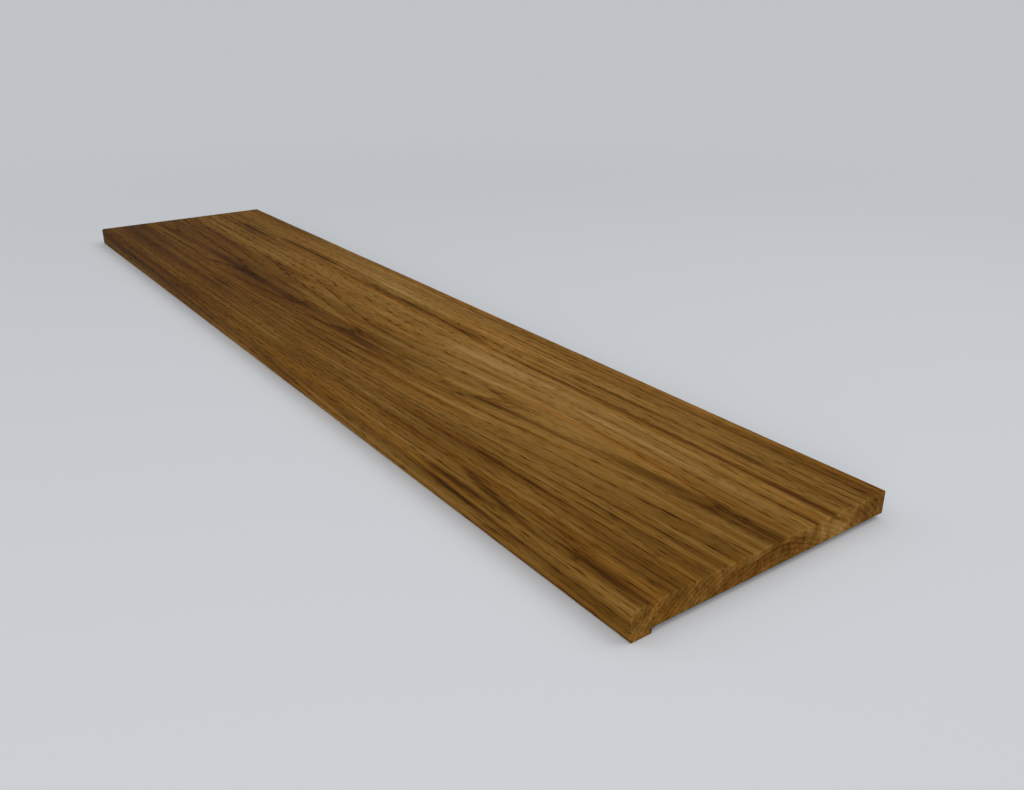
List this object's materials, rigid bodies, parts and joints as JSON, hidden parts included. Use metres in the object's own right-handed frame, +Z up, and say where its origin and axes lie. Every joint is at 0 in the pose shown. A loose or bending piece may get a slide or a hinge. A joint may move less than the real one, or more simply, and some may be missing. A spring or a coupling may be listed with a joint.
{
  "type": "stair tread",
  "caption": "Plain solid-wood stair tread: a long flat board with a shallow nosing lip along the underside of its front edge, softly eased edges and a satin brown finish.",
  "frame": {"origin": "middle of the footprint, level with the bottom of the nosing lip", "axes": "+X along the tread's length, the nosing faces -Y and the back edge +Y, +Z up out of the walking face"},
  "size_m": [1.2, 0.25, 0.023],
  "materials": {
    "oiled_wood": "satin oiled, straight streaky grain"
  },
  "bodies": {
    "root": {"stair_tread": "oiled_wood"}
  },
  "joints": []
}
